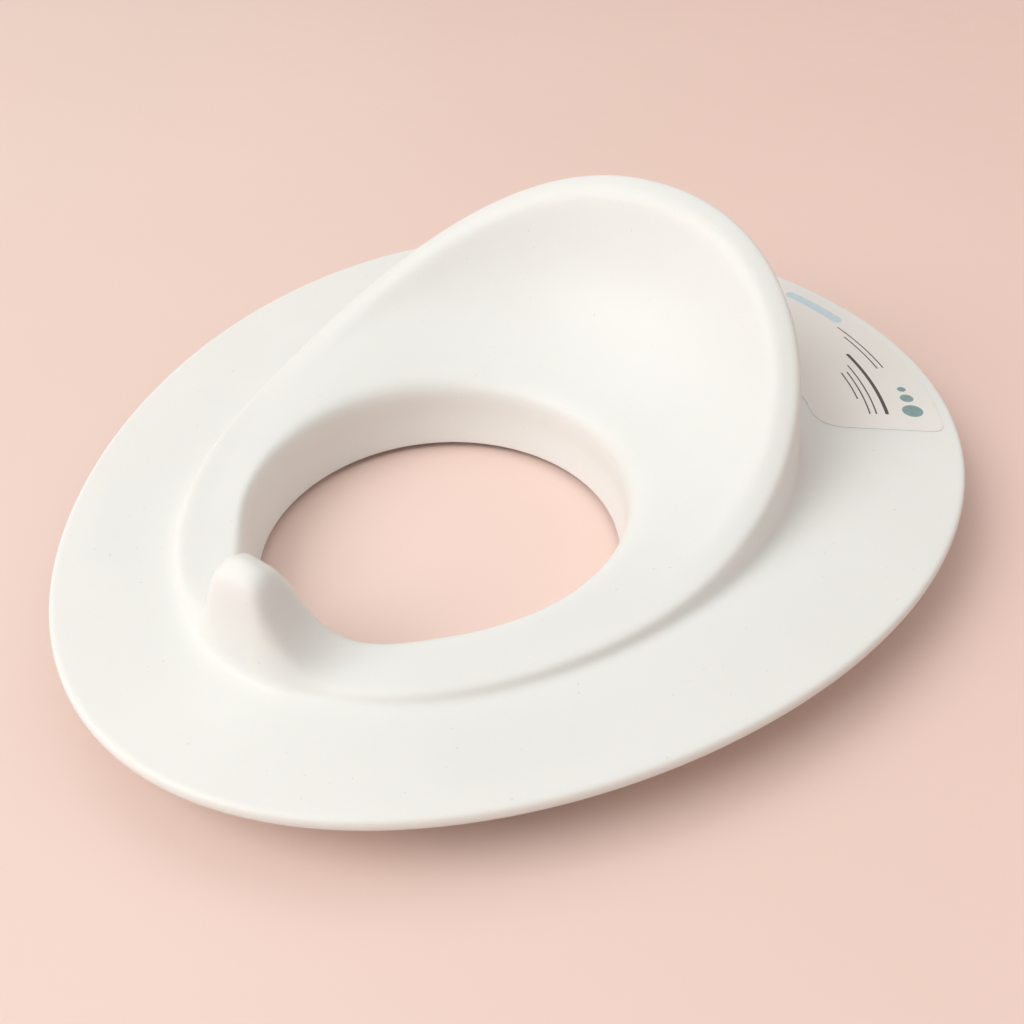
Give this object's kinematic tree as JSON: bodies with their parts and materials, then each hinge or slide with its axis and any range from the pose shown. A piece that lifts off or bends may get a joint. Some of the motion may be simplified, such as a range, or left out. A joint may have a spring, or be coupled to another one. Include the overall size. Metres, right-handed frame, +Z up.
{
  "type": "toilet seat reducer",
  "caption": "Child's toilet seat insert: egg-shaped brim, raised ring with a curved backrest, a splash guard at the front, and grip pads and locating ribs underneath.",
  "frame": {"origin": "under the middle of the brim, level with the lower edges of the ribs", "axes": "+Z up, +Y towards the backrest, -Y towards the splash guard; names call -X left, as seen from the front"},
  "size_m": [0.3238, 0.385, 0.0972],
  "materials": {
    "white_moulded_plastic": "satin, faintly grained, with moulding specks and light scuffs",
    "soft_grip_rubber": "matt, soft to the touch",
    "label_film": "low-gloss printed film"
  },
  "bodies": {
    "root": {"seat_shell": "white_moulded_plastic", "grip_pad_rear_left": "soft_grip_rubber", "grip_pad_rear_right": "soft_grip_rubber", "grip_pad_front_left": "soft_grip_rubber", "grip_pad_front_right": "soft_grip_rubber", "product_label": "label_film"}
  },
  "joints": []
}
